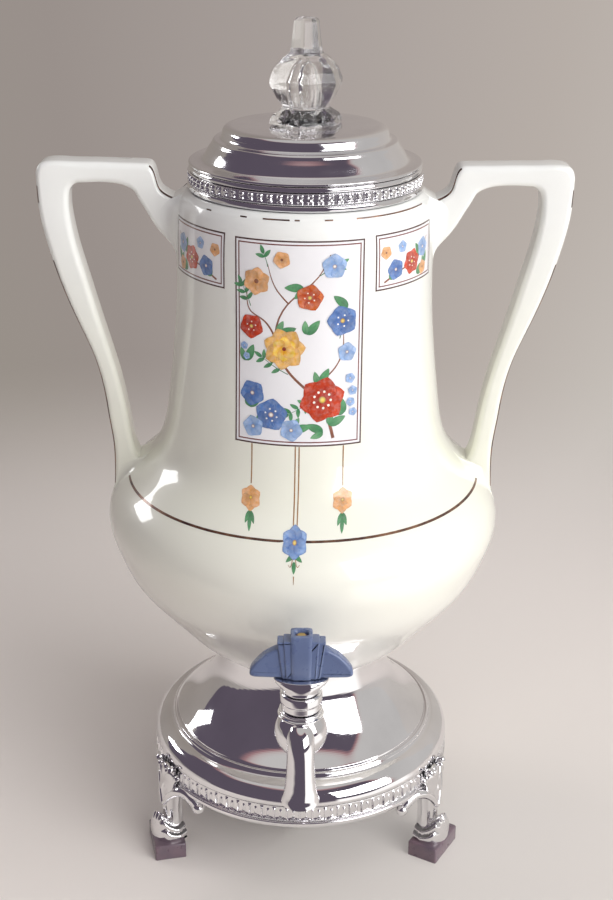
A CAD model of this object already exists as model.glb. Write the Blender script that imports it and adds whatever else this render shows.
import math

import bmesh
import bpy
import numpy as np
from mathutils import Matrix, Vector


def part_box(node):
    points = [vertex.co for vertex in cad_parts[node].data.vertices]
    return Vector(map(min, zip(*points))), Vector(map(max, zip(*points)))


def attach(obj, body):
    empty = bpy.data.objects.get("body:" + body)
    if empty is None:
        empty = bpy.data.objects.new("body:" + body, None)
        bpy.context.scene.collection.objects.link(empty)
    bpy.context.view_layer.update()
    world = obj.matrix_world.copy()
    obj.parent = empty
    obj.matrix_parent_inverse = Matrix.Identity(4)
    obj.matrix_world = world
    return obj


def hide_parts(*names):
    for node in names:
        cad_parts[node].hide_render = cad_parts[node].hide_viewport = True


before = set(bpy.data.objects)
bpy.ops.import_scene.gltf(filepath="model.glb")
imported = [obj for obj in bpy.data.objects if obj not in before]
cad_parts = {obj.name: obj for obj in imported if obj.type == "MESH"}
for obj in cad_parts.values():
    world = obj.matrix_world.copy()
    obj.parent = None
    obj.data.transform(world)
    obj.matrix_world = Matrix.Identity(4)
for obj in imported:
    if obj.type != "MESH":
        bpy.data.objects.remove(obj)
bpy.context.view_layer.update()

# Sizes here are millimetres about the urn's own axis, with the tap towards -Y; the frame is in metres
MM = 0.001
shell_low, shell_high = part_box("base_shell")
AXIS = np.array([(shell_low.x + shell_high.x) / 2, (shell_low.y + shell_high.y) / 2, 0]) / MM
TURN = 2 * math.pi


# Shapes: curves, grids of points and the meshes made from them
def rounded(points, reach, steps=6, closed=False):
    """A polyline whose corners are parabolas that start `reach` before each corner and end as far past it."""
    p = np.asarray(points, float)
    before, after = np.roll(p, 1, 0) - p, np.roll(p, -1, 0) - p
    far = np.broadcast_to(np.asarray(reach, float), len(p))

    def step(way):
        length = np.linalg.norm(way, axis=1)
        return way * (np.minimum(far, 0.49 * length) / length)[:, None]

    t = np.linspace(0, 1, steps)[None, :, None]
    start, end = (p + step(before))[:, None], (p + step(after))[:, None]
    arcs = (1 - t) ** 2 * start + 2 * t * (1 - t) * p[:, None] + t ** 2 * end
    if closed:
        return arcs.reshape(-1, p.shape[1])
    return np.concatenate([p[:1], arcs[1:-1].reshape(-1, p.shape[1]), p[-1:]])


def smooth(points, count, closed=False):
    """Natural cubic spline through the points, taken by chord length at `count` even steps."""
    p = np.asarray(points, float)
    lap = len(p)
    if closed:
        p = np.concatenate([p[-3:], p, p[:4]])
    t = np.concatenate([[0], np.cumsum(np.linalg.norm(np.diff(p, axis=0), axis=1))])
    h = np.diff(t)
    system = np.eye(len(p))
    inner = np.arange(1, len(p) - 1)
    system[inner, inner - 1] = h[:-1]
    system[inner, inner] = 2 * (h[:-1] + h[1:])
    system[inner, inner + 1] = h[1:]
    slope = np.diff(p, axis=0) / h[:, None]
    right = np.zeros_like(p)
    right[1:-1] = 6 * np.diff(slope, axis=0)
    bend = np.linalg.solve(system, right)
    first, last = (t[3], t[3 + lap]) if closed else (t[0], t[-1])
    s = np.linspace(first, last, count, endpoint=not closed)
    i = np.clip(np.searchsorted(t, s, side="right") - 1, 0, len(h) - 1)
    a, b, k = (t[i + 1] - s)[:, None], (s - t[i])[:, None], h[i][:, None]
    cubic = (bend[i] * a ** 3 + bend[i + 1] * b ** 3) / (6 * k)
    return cubic + (p[i] / k - bend[i] * k / 6) * a + (p[i + 1] / k - bend[i + 1] * k / 6) * b


def softened(values, width):
    """Rows averaged with their neighbours by a bell-shaped weight `width` rows wide, ends held."""
    reach = int(3 * width) + 1
    bell = np.exp(-0.5 * (np.arange(-reach, reach + 1) / width) ** 2)
    padded = np.pad(values, (reach, reach), mode="edge")
    return np.convolve(padded, bell / bell.sum(), "valid")


def turned(profile, sides):
    """A profile of (radius, height) carried round the urn's axis; angles run from -Y towards +X."""
    profile = np.asarray(profile, float)
    angle = TURN * np.arange(sides)[:, None] / sides
    r, z = profile[:, 0], profile[:, 1]
    return np.stack([r * np.sin(angle), -r * np.cos(angle), z + 0 * angle], -1)


def swept(path, radius, sides, up):
    """A round section carried along a path, with a radius for each point; `up` is never along the path."""
    tangent = np.gradient(path, axis=0)
    tangent /= np.linalg.norm(tangent, axis=1)[:, None]
    side = np.cross(tangent, np.asarray(up, float))
    side /= np.linalg.norm(side, axis=1)[:, None]
    lift = np.cross(side, tangent)
    angle = (TURN * np.arange(sides) / sides)[None, :, None]
    r = radius[:, None, None]
    return path[:, None] + r * (np.cos(angle) * side[:, None] + np.sin(angle) * lift[:, None])


def superball(centre, size, power=(1.0, 1.0), rows=18, sides=28):
    """A ball whose sections are superellipses: half sizes `size`, squarer as the powers fall below 1."""
    v = np.linspace(-math.pi / 2, math.pi / 2, rows)[:, None]
    u = (TURN * np.arange(sides) / sides)[None, :]

    def raised(value, exponent):
        return np.sign(value) * np.abs(value) ** exponent

    girth = raised(np.cos(v), power[1])
    x, y = girth * raised(np.cos(u), power[0]), girth * raised(np.sin(u), power[0])
    z = raised(np.sin(v), power[1]) + 0 * u
    return np.stack([x, y, z], -1) * np.asarray(size, float) + np.asarray(centre, float)


def sheet(points, wrap=(False, False)):
    """Corners and quads of a grid of points; a wrapped direction closes on itself."""
    points = np.asarray(points, float)
    rows, columns = points.shape[:2]
    i = np.arange(rows if wrap[0] else rows - 1)[:, None]
    j = np.arange(columns if wrap[1] else columns - 1)[None, :]
    i2, j2 = (i + 1) % rows, (j + 1) % columns
    corners = np.stack([i * columns + j, i2 * columns + j, i2 * columns + j2, i * columns + j2], -1)
    return points.reshape(-1, 3), corners.reshape(-1, 4).tolist()


def closed_tube(points):
    """A tube whose sections wrap round and whose two ends close on a pole at their middles."""
    points = np.asarray(points, float)
    ends = [np.broadcast_to(points[k].mean(0), points[k].shape)[None] for k in (0, -1)]
    return sheet(np.concatenate([ends[0], points, ends[1]]), (False, True))


def rod(knots, count, shares, radii, sides, up):
    """A round bar along a smooth path, its radii given at shares of the path."""
    thick = np.interp(np.linspace(0, 1, count), shares, radii)
    return closed_tube(swept(smooth(knots, count), thick, sides, up))


def ring(line, reach, steps, sides):
    """A closed section with eased corners, turned about the axis."""
    return sheet(turned(rounded(line, reach, steps, closed=True), sides), (True, True))


def aside(along):
    """Unit vectors a quarter turn to the left of flat ones."""
    return np.column_stack([-along[:, 1], along[:, 0]]) / np.linalg.norm(along, axis=1)[:, None]


def ribbon(path, width):
    """A flat path's two edges, `width` apart, and its middle between them."""
    across = np.linspace(-0.5, 0.5, 3)[:, None, None] * width
    return path[None] + across * aside(np.gradient(path, axis=0))[None]


def together(*parts):
    """Several lots of corners and faces as one."""
    corners, faces, count = [], [], 0
    for points, quads in parts:
        corners.append(points)
        faces += [[k + count for k in quad] for quad in quads]
        count += len(points)
    return np.concatenate(corners), faces


def spun(part, angle, shift=(0, 0, 0)):
    """Corners turned about the urn's axis and moved; faces as they were."""
    points, faces = part
    c, s = math.cos(angle), math.sin(angle)
    turn = np.array([[c, -s, 0], [s, c, 0], [0, 0, 1]])
    return points @ turn.T + np.asarray(shift, float), faces


def placed(name, data):
    """A new object in the scene."""
    made = bpy.data.objects.new(name, data)
    bpy.context.scene.collection.objects.link(made)
    return made


def shaded(mesh, sharp):
    """Smooth shading, broken at edges that turn by more than so many degrees."""
    mesh.polygons.foreach_set("use_smooth", np.ones(len(mesh.polygons), bool))
    mesh.set_sharp_from_angle(angle=math.radians(sharp))


def piece(name, part, material, body="urn", stands_for=(), sharp=38, colours=None, shut=True):
    """A mesh in the frame from corners and faces, shaded smooth but at edges. A shut one has its doubles
    merged and its faces turned outwards."""
    points, faces = part
    mesh = bpy.data.meshes.new(name)
    mesh.from_pydata(((points + AXIS) * MM).tolist(), [], faces)
    if colours is not None:
        layer = mesh.color_attributes.new("paint", "FLOAT_COLOR", "POINT")
        layer.data.foreach_set("color", np.column_stack([colours, np.ones(len(colours))]).ravel())
    if shut:
        work = bmesh.new()
        work.from_mesh(mesh)
        bmesh.ops.remove_doubles(work, verts=work.verts, dist=1e-7)
        bmesh.ops.dissolve_degenerate(work, edges=work.edges, dist=1e-8)
        bmesh.ops.recalc_face_normals(work, faces=work.faces)
        work.to_mesh(mesh)
        work.free()
    shaded(mesh, sharp)
    mesh.materials.append(material)
    made = placed(name, mesh)
    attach(made, body)
    if stands_for:
        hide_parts(*stands_for)


# Materials and their nodes. The owner of a node is a material or the world
def give(owner, socket, value):
    """A number, a colour or another node's output for a socket."""
    if isinstance(value, bpy.types.NodeSocket):
        owner.node_tree.links.new(value, socket)
    else:
        socket.default_value = value


def new_node(owner, kind, **inputs):
    """A node with its inputs; words joined by _ name them."""
    made = owner.node_tree.nodes.new(f"ShaderNode{kind}")
    for name, value in inputs.items():
        give(owner, made.inputs[name.replace("_", " ")], value)
    return made


def worked(owner, operation, *values):
    """One sum over sockets and numbers, from left to right."""
    result = values[0]
    for value in values[1:]:
        made = new_node(owner, "Math")
        made.operation = operation
        give(owner, made.inputs[0], result)
        give(owner, made.inputs[1], value)
        result = made.outputs["Value"]
    return result


def coordinates(material):
    """The place on the piece, in metres."""
    nodes = material.node_tree.nodes
    found = nodes.get("Place") or nodes.new("ShaderNodeTexCoord")
    found.name = "Place"
    return found.outputs["Object"]


def noise(material, scale, detail=3.0):
    """Cloudy noise of so many cells a metre."""
    place = coordinates(material)
    return new_node(material, "TexNoise", Vector=place, Scale=scale, Detail=detail).outputs["Fac"]


def ranged(owner, value, low, high, start=0.3, end=0.7, steps="LINEAR"):
    """A value from start..end carried to low..high."""
    made = new_node(owner, "MapRange", Value=value, From_Min=start, From_Max=end, To_Min=low, To_Max=high)
    made.interpolation_type = steps
    return made.outputs["Result"]


def blended(owner, value, *stops):
    """A colour ramp over a value; stops are (place, colour)."""
    made = new_node(owner, "ValToRGB", Fac=value)
    elements = made.color_ramp.elements
    while len(elements) < len(stops):
        elements.new(0.5)
    for element, (place, colour) in zip(elements, stops):
        element.position, element.color = place, (*colour, 1)
    return made.outputs["Color"]


def bumped(material, value, height):
    """A bump of that height in metres on the shader's normal."""
    bump_node = new_node(material, "Bump", Strength=1.0, Distance=height, Height=value)
    feed(material, "Normal", bump_node.outputs["Normal"])


def finish(name, colour, **sockets):
    """A material of one shader; words joined by _ name its sockets."""
    material = bpy.data.materials.new(name)
    material.use_nodes = True
    shader = material.node_tree.nodes["Principled BSDF"]
    shader.inputs["Base Color"].default_value = (*colour, 1)
    for socket, value in sockets.items():
        shader.inputs[socket.replace("_", " ")].default_value = value
    return material


def feed(material, socket, value):
    give(material, material.node_tree.nodes["Principled BSDF"].inputs[socket], value)


def china_glaze():
    """Ivory glaze: a clear coat over a milky body, creamier at the bowl, with a barely uneven surface."""
    m = finish("china_glaze", (0.86, 0.85, 0.79), Roughness=0.3, Coat_Weight=1.0, Coat_Roughness=0.025)
    height = new_node(m, "SeparateXYZ", Vector=coordinates(m)).outputs["Z"]
    cloud = worked(m, "ADD", ranged(m, height, 0.0, 0.8, 0.10, 0.30),
                   ranged(m, noise(m, 6, 1.0), 0.0, 0.2, 0.0, 1.0))
    feed(m, "Base Color", blended(m, cloud, (0.15, (0.85, 0.85, 0.80)), (0.42, (0.855, 0.86, 0.745)),
                                  (0.6, (0.855, 0.865, 0.78)), (0.85, (0.86, 0.875, 0.845))))
    feed(m, "Roughness", ranged(m, noise(m, 25, 1.0), 0.26, 0.32, 0.0, 1.0))
    return m


def gilding():
    """Worn brown-gold line: metal that has darkened in places."""
    m = finish("gilding", (0.2, 0.1, 0.06), Metallic=0.5, Roughness=0.3, Coat_Weight=0.6, Coat_Roughness=0.05)
    feed(m, "Base Color", blended(m, noise(m, 180), (0.38, (0.075, 0.035, 0.03)),
                                  (0.68, (0.27, 0.135, 0.075))))
    return m


def enamel(name, clouds, uneven):
    """Painted colours under the glaze, read from the piece's paint, with the brush's uneven strength."""
    m = finish(name, (0.8, 0.8, 0.8), Roughness=0.35, Coat_Weight=1.0, Coat_Roughness=0.04)
    paint = new_node(m, "Attribute")
    paint.attribute_name = "paint"
    strength = ranged(m, noise(m, clouds, 4.0), 1 - uneven, 1 + uneven)
    fullness = ranged(m, noise(m, 1.7 * clouds, 4.0), 1 - uneven, 1 + uneven)
    wash = new_node(m, "HueSaturation", Color=paint.outputs["Color"], Value=strength, Saturation=fullness)
    feed(m, "Base Color", wash.outputs["Color"])
    return m


def plating(name, colour, low, high, grain=260, height=0.0):
    """Bright plating whose polish varies a little, with hairline unevenness."""
    m = finish(name, colour, Metallic=1.0, Roughness=low)
    feed(m, "Roughness", ranged(m, noise(m, grain, 4.0), low, high))
    tint = [tuple(c * k for c in colour) for k in (0.94, 1.04)]
    feed(m, "Base Color", blended(m, noise(m, 35), (0.35, tint[0]), (0.65, tint[1])))
    if height:
        bumped(m, noise(m, grain / 3, 2.0), height)
    return m


def spun_metal(name, colour, low, high):
    """Satin metal with fine rings about the urn's axis, left by turning."""
    m = finish(name, colour, Metallic=1.0, Roughness=low)
    centre = new_node(m, "Mapping", Vector=coordinates(m), Location=[-v * MM for v in AXIS])
    rings = new_node(m, "TexWave", Vector=centre.outputs["Vector"], Scale=320, Distortion=1.5)
    rings.wave_type, rings.rings_direction = "RINGS", "Z"
    feed(m, "Roughness", ranged(m, rings.outputs["Fac"], low, high, 0.0, 1.0))
    bumped(m, rings.outputs["Fac"], 0.000006)
    return m


def moulding(name, dark, light, low, high, clouds, height):
    """Moulded resin: mottled colour, soft polish and a fine orange-peel surface."""
    m = finish(name, dark, Roughness=low, Coat_Weight=0.35, Coat_Roughness=0.12)
    feed(m, "Base Color", blended(m, noise(m, clouds, 4.0), (0.35, dark), (0.68, light)))
    feed(m, "Roughness", ranged(m, noise(m, clouds * 3), low, high))
    bumped(m, noise(m, 900, 1.0), height)
    return m


def grained(name, colour, roughness, clouds, detail, dark, light, cells, height):
    """Dull stuff with dark and light grains and a rough surface: pressed cork, unglazed ceramic."""
    m = finish(name, colour, Roughness=roughness)
    feed(m, "Base Color", blended(m, noise(m, clouds, detail), dark, light))
    bumped(m, noise(m, cells), height)
    return m


def braid():
    """Cotton braid over a lead: crossing diagonal threads."""
    m = finish("braid", (0.2, 0.15, 0.1), Roughness=0.95)
    weave = new_node(m, "TexChecker", Vector=coordinates(m), Scale=1800, Color1=(0.26, 0.19, 0.13, 1),
                     Color2=(0.13, 0.10, 0.08, 1))
    feed(m, "Base Color", weave.outputs["Color"])
    bumped(m, weave.outputs["Fac"], 0.00015)
    return m


def clear_glass():
    """Pressed clear glass with faint flow lines."""
    m = finish("clear_glass", (1.0, 1.0, 1.0), Roughness=0.0, IOR=1.47, Transmission_Weight=1.0, Alpha=0.9)
    feed(m, "Roughness", ranged(m, noise(m, 120), 0.0, 0.03))
    bumped(m, noise(m, 160, 2.0), 0.00006)
    return m


CHINA = china_glaze()
GOLD = gilding()
PAINT = enamel("enamel_paint", 420, 0.16)
WHITE_GROUND = enamel("white_ground", 60, 0.02)
CHROME = plating("chrome_plate", (0.86, 0.85, 0.865), 0.03, 0.08)
SATIN = plating("satin_chrome", (0.84, 0.83, 0.85), 0.07, 0.13, 160)
CAST = plating("cast_chrome", (0.82, 0.81, 0.82), 0.08, 0.16, 420, 0.00001)
NICKEL = spun_metal("nickel_plate", (0.56, 0.53, 0.49), 0.22, 0.36)
ALUMINIUM = spun_metal("aluminium_sheet", (0.62, 0.63, 0.64), 0.3, 0.45)
BRASS = plating("brass", (0.62, 0.44, 0.16), 0.22, 0.4)
STEEL = plating("steel", (0.36, 0.36, 0.37), 0.3, 0.45)
BLUE = moulding("blue_resin", (0.105, 0.142, 0.265), (0.13, 0.172, 0.30), 0.24, 0.36, 90, 0.00001)
RECESS = moulding("recess_resin", (0.13, 0.055, 0.055), (0.2, 0.09, 0.085), 0.4, 0.6, 400, 0.00003)
DARK = moulding("dark_resin", (0.12, 0.09, 0.115), (0.19, 0.125, 0.15), 0.24, 0.4, 110, 0.00001)
BAND = plating("band_chrome", (0.88, 0.87, 0.885), 0.16, 0.24)
CORK = grained("cork", (0.4, 0.27, 0.15), 0.9, 900, 5.0, (0.35, (0.20, 0.12, 0.06)),
               (0.6, (0.46, 0.31, 0.17)), 1100, 0.0001)
HEATER = grained("heater_ceramic", (0.5, 0.46, 0.38), 0.85, 700, 4.0, (0.35, (0.36, 0.32, 0.26)),
                 (0.65, (0.56, 0.52, 0.44)), 800, 0.00008)
BRAID = braid()
GLASS = clear_glass()

# China vessel: its outline from foot to mouth, as shares of the belly radius and of the height
BELLY, FOOT_HEIGHT, BODY_HEIGHT = 84.6, 90.3, 207.2
BODY_TOP = FOOT_HEIGHT + BODY_HEIGHT
WALL, MOUTH, MOUTH_EDGE, FLOOR_HOLE, FLOOR_TOP = 5.0, 43.3, 47.6, 18.4, 95.0
NECK_RADIUS, BODY_ROWS = 52, 190
BODY_SHARES = [
    (0.436, 0.0), (0.565, 0.037), (0.677, 0.085), (0.8, 0.143), (0.908, 0.201), (0.968, 0.259), (1.0, 0.307),
    (0.981, 0.356), (0.939, 0.385), (0.891, 0.406), (0.833, 0.428), (0.754, 0.462), (0.703, 0.51),
    (0.675, 0.578), (0.648, 0.674), (0.624, 0.819), (0.618, 0.954), (0.606, 0.981), (0.585, 0.995),
]
HANDLE_REACH, HANDLE_HALF, HANDLE_EDGE = 107.9, 7.3, 2.7
# Across the strap from its outer to its inner side: outer x and z shares, then inner x and z shares
HANDLE_PAIRS = [
    (0.47, 0.982, 0.465, 0.862), (0.492, 0.984, 0.519, 0.898), (0.53, 0.995, 0.555, 0.92),
    (0.549, 1.012, 0.585, 0.945), (0.56, 1.034, 0.606, 0.964), (0.575, 1.0455, 0.622, 0.978),
    (0.6, 1.048, 0.635, 0.991), (0.64, 1.0485, 0.656, 1.0), (0.7, 1.049, 0.695, 1.007),
    (0.78, 1.05, 0.765, 1.01), (0.87, 1.0505, 0.83, 1.009), (0.955, 1.0505, 0.863, 1.004),
    (0.982, 1.046, 0.874, 0.997), (0.997, 1.034, 0.8805, 0.986), (1.0, 1.015, 0.883, 0.97),
    (0.9985, 0.975, 0.882, 0.95), (0.978, 0.903, 0.866, 0.895), (0.946, 0.838, 0.84, 0.84),
    (0.903, 0.771, 0.803, 0.766), (0.858, 0.713, 0.769, 0.7), (0.813, 0.653, 0.735, 0.635),
    (0.783, 0.583, 0.709, 0.575), (0.768, 0.52, 0.691, 0.52), (0.755, 0.462, 0.674, 0.465),
    (0.754, 0.42, 0.662, 0.445), (0.757, 0.38, 0.645, 0.43), (0.757, 0.345, 0.62, 0.41),
    (0.74, 0.325, 0.61, 0.38),
]


def body_outline():
    """The vessel's outer line, evenly spaced and eased so that the glaze reflects without ripples."""
    line = smooth([(r * BELLY, FOOT_HEIGHT + z * BODY_HEIGHT) for r, z in BODY_SHARES], BODY_ROWS)
    return np.column_stack([softened(line[:, 0], 2.2), softened(line[:, 1], 2.2)])


BODY_LINE = body_outline()


def body_radius(height):
    return np.interp(height, BODY_LINE[:, 1], BODY_LINE[:, 0])


HANDLE_ROWS = 190


def handle_sides():
    """The strap's outer and inner sides, row by row, eased by one spline through all the pairs."""
    pairs = np.asarray(HANDLE_PAIRS, float) * [HANDLE_REACH, BODY_HEIGHT, HANDLE_REACH, BODY_HEIGHT]
    return smooth(pairs + [0, FOOT_HEIGHT, 0, FOOT_HEIGHT], HANDLE_ROWS)


HANDLE_SIDES = handle_sides()
HANDLE_LINE = np.concatenate([HANDLE_SIDES[:, :2], HANDLE_SIDES[::-1, 2:]])


def handle_thickness(radius, height):
    """How far the handle goes on outwards from the vessel at each height; 0 where it stands clear."""
    a, b = HANDLE_LINE[None], np.roll(HANDLE_LINE, -1, 0)[None]
    z = height[:, None]
    crosses = (a[..., 1] <= z) != (b[..., 1] <= z)
    rise = np.where(crosses, b[..., 1] - a[..., 1], 1)
    x = a[..., 0] + (z - a[..., 1]) / rise * (b[..., 0] - a[..., 0])
    beyond = crosses & (x > radius[:, None] + 0.3)
    nearest = np.where(beyond, x, 1e3).min(1)
    return np.where(beyond.sum(1) % 2 == 1, nearest - radius, 0)


# Columns of points: close together in millimetres beside a handle, then evenly round to the quarter
FILLET, FAR_COLUMNS = 6.5, 38
NEAR_STEPS = np.array([0, 3, 6, 7.3, 7.34, 7.5, 7.8, 8.25, 8.8, 9.5, 10.4, 11.5, 12.8, 14.2, 16])


def china_vessel():
    """The vessel's line turned about its axis. Beside each handle the wall rises to it as a quarter-circle
    fillet: R - sqrt(R^2 - (R - d)^2) at a distance d from the handle's face, with R no more than the handle
    stands out."""
    outer = BODY_LINE
    thick = handle_thickness(outer[:, 0], outer[:, 1])
    fillet = np.minimum(softened(np.minimum(0.8 * thick, FILLET), 1.6), FILLET)
    inner = (outer + WALL * aside(np.gradient(outer, axis=0)))[::-3]
    inner = inner[(inner[:, 1] > FLOOR_TOP) & (inner[:, 1] < BODY_TOP - 8)]
    top = [outer[-1], (MOUTH_EDGE, BODY_TOP), (MOUTH, BODY_TOP), (MOUTH, BODY_TOP - 3), inner[0]]
    top = rounded(top, 0.9)
    floor = rounded([inner[-1], (inner[-1, 0] - 3, FLOOR_TOP), (FLOOR_HOLE, FLOOR_TOP),
                     (FLOOR_HOLE, FOOT_HEIGHT), outer[0]], 0.8)
    line = np.concatenate([outer, top[1:-1], inner, floor[1:-1]])
    fillet = np.concatenate([fillet, np.zeros(len(line) - len(outer))])
    near = NEAR_STEPS[None, :] * np.minimum(1, line[:, :1] / NECK_RADIUS)
    near = np.arcsin(near / line[:, :1])
    share = np.linspace(0, 1, FAR_COLUMNS)[None, 1:]
    quarter = np.concatenate([near, near[:, -1:] + (math.pi / 2 - near[:, -1:]) * share], 1)
    back = quarter[:, ::-1][:, :-1]
    angle = np.concatenate([quarter[:, :-1], math.pi - back, math.pi + quarter[:, :-1], TURN - back], 1)
    x, y = line[:, :1] * np.cos(angle), line[:, :1] * np.sin(angle)
    r = np.maximum(fillet, 1e-6)[:, None]
    gap = np.clip(np.abs(y) - HANDLE_HALF, 0, r)
    x = x + np.sign(x) * (r - np.sqrt(r ** 2 - (r - gap) ** 2)) * (fillet > 1e-3)[:, None]
    points = np.stack([x, y, line[:, 1:] + 0 * x], -1)
    piece("china_vessel", sheet(points, (True, True)), CHINA, stands_for=["urn_body"])


def pillow(line, half, edge, steps=5):
    """A closed outline carried across a thickness of 2 x half, its edges quarter circles of radius `edge`.
    Rows run from the front face's rim over the side to the back face's rim."""
    out = -aside(np.roll(line, -1, 0) - np.roll(line, 1, 0))
    if np.sum(line[:, 0] * np.roll(line[:, 1], -1) - np.roll(line[:, 0], -1) * line[:, 1]) < 0:
        out = -out
    turn = np.linspace(0, math.pi / 2, steps)
    early, late = edge * (1 - np.sin(turn)), edge * (1 - np.cos(turn))
    inset = np.concatenate([[edge + 0.3], early, late, [edge + 0.3]])
    depth = np.concatenate([[-half], late - half, half - early, [half]])
    flat = line[None] - out[None] * inset[:, None, None]
    return np.stack([flat[..., 0], depth[:, None] + 0 * flat[..., 0], flat[..., 1]], -1)


def capped(points):
    """A wrapped grid whose first and last rows are each filled by one flat face."""
    corners, faces = sheet(points, (False, True))
    rows, columns = points.shape[:2]
    faces.append(list(range(columns)))
    faces.append(list(range((rows - 1) * columns, rows * columns)))
    return corners, faces


def mirrored(points, side):
    return points * np.array([side, 1, 1])


def strap(angles, corners, lift=0.0):
    """Sections across the strap: quarter circles of radius `edge` at the corners of a rectangle, in order."""
    outer, inner = HANDLE_SIDES[:, :2], HANDLE_SIDES[:, 2:]
    way = inner - outer
    width = np.linalg.norm(way, axis=1)[:, None]
    edge = np.minimum(HANDLE_EDGE, 0.44 * width)
    along, deep = [], []
    for (sx, sy), turns in zip(corners, angles):
        along.append(sx * (width / 2 - edge) + (edge + lift) * np.cos(turns))
        deep.append(sy * (HANDLE_HALF - edge) + (edge + lift) * np.sin(turns))
    along, deep = np.concatenate(along, 1), np.concatenate(deep, 1)
    flat = ((outer + inner) / 2)[:, None] + (way / width)[:, None] * along[..., None]
    return np.stack([flat[..., 0], deep, flat[..., 1]], -1)


def strap_row(share):
    return int(round(share * (HANDLE_ROWS - 1)))


SIDES = (("right", 1), ("left", -1))
# The gold lines lie on the strap's rounded corners, and each runs from one share of the strap to another
GILT_TURN, GILT_HALF = 0.62, 0.19
GILT_RUNS = (("scoop", 0.03, 0.125), ("corner", 0.345, 0.375), ("edge", 0.475, 0.955))


def china_handles():
    """The two straps, each with worn gold lines along the scoop and down the outer edge, front and back."""
    quarters = [np.linspace(k * math.pi / 2, (k + 1) * math.pi / 2, 8)[None] for k in range(4)]
    body = strap(quarters, [(1, 1), (-1, 1), (-1, -1), (1, -1)])
    for name, side in SIDES:
        piece(f"china_handle_{name}", closed_tube(mirrored(body, side)), CHINA,
              stands_for=[f"handle_{name}"])
        for face, sy, middle in (("front", -1, math.pi + GILT_TURN), ("back", 1, math.pi - GILT_TURN)):
            across = middle + np.linspace(-GILT_HALF, GILT_HALF, 5)[None]
            band = strap([across], [(-1, sy)], GOLD_LIFT)
            for part, first, last in GILT_RUNS:
                gilt = sheet(mirrored(band[strap_row(first):strap_row(last)], side))
                piece(f"gold_{part}_{name}_{face}", gilt, GOLD, shut=False)


# The decoration's middle is turned a little from the tap, as on the real vessel
MIDDLE = math.radians(-2.3)
# Lifts off the glaze; each painted shape lies one layer above the last
GROUND_LIFT, GOLD_LIFT, FRAME_LIFT, PAINT_LIFT, LAYER = 0.035, 0.05, 0.06, 0.07, 0.0012


def on_china(across, height, lift, middle=MIDDLE):
    """A place on the vessel: millimetres across from the decoration's middle, a height, and a lift off it."""
    slope = np.gradient(BODY_LINE[:, 0]) / np.gradient(BODY_LINE[:, 1])
    radius = body_radius(height)
    lean = np.interp(height, BODY_LINE[:, 1], slope)
    size = np.sqrt(1 + lean ** 2)
    angle = middle + across / radius
    r = radius + lift / size
    return np.stack([r * np.sin(angle), -r * np.cos(angle), height - lift * lean / size], -1)


def strip_points(line, width, lift, middle=MIDDLE):
    """A flat band of that width along a line of (across, height) on the vessel."""
    flat = ribbon(np.asarray(line, float), width)
    return on_china(flat[..., 0], flat[..., 1], lift, middle)


def frame_line(half, low, high, width, middle):
    """A rectangle's four sides as bands that meet at the corners."""
    steps = np.linspace(0, 1, 60)[:, None]
    corners = [(-half, low), (half, low), (half, high), (-half, high)]
    parts = []
    for a, b in zip(corners, corners[1:] + corners[:1]):
        a, b = np.array(a, float), np.array(b, float)
        way = (b - a) / np.linalg.norm(b - a) * width / 2
        parts.append(sheet(strip_points(a - way + (b - a + 2 * way) * steps, width, FRAME_LIFT, middle)))
    return together(*parts)


# Where gold is left of the ring under the collar, in shares of the girth from the decoration's middle
WORN_RUNS = ((-0.42, -0.36), (-0.3, -0.26), (-0.13, -0.121), (-0.075, -0.066), (-0.045, -0.012),
             (-0.006, 0.0), (0.03, 0.04), (0.07, 0.19), (0.36, 0.47))


def gold_line(across, height, width):
    """A band round the vessel at one height, over a row of places across."""
    return sheet(strip_points(np.column_stack([across, 0 * across + height]), width, GOLD_LIFT))


def gold_rings():
    """The line round the shoulder, left open behind the middle flower, and the one under the collar."""
    shoulder, gap, top = 174.5, 3.6, 295.6
    girth = TURN * float(body_radius(shoulder))
    piece("gold_shoulder", gold_line(np.linspace(gap, girth - gap, 260), shoulder, 0.75), GOLD)
    girth = TURN * float(body_radius(top))
    worn = [gold_line(np.linspace(a, b, 60) * girth, top, 0.55) for a, b in WORN_RUNS]
    piece("gold_top", together(*worn), GOLD, shut=False)


# Flowers and leaves: small painted surfaces laid on the glaze
RED, DEEP_RED = (0.62, 0.085, 0.035), (0.36, 0.03, 0.02)
BLUE_PAINT, DEEP_BLUE, PALE_BLUE = (0.17, 0.29, 0.56), (0.06, 0.12, 0.34), (0.42, 0.56, 0.78)
PEACH, TAN = (0.83, 0.47, 0.24), (0.60, 0.30, 0.12)
YELLOW, GOLDEN = (0.88, 0.68, 0.16), (0.83, 0.52, 0.17)
GREEN, DEEP_GREEN = (0.13, 0.36, 0.16), (0.05, 0.20, 0.09)
STEM, CREAM = (0.25, 0.10, 0.06), (0.9, 0.88, 0.8)
BROWN, LEAF_GREEN = (0.34, 0.17, 0.06), (0.20, 0.45, 0.22)
# A flower's inner and outer colours and its eye
RED_FLOWER, BLUE_FLOWER = (DEEP_RED, RED, YELLOW), (DEEP_BLUE, BLUE_PAINT, CREAM)
PALE_FLOWER, PEACH_FLOWER = (BLUE_PAINT, PALE_BLUE, CREAM), (TAN, PEACH, STEM)
FRAME_TONES = ((0.085, 0.04, 0.035), (0.2, 0.07, 0.06))


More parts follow.
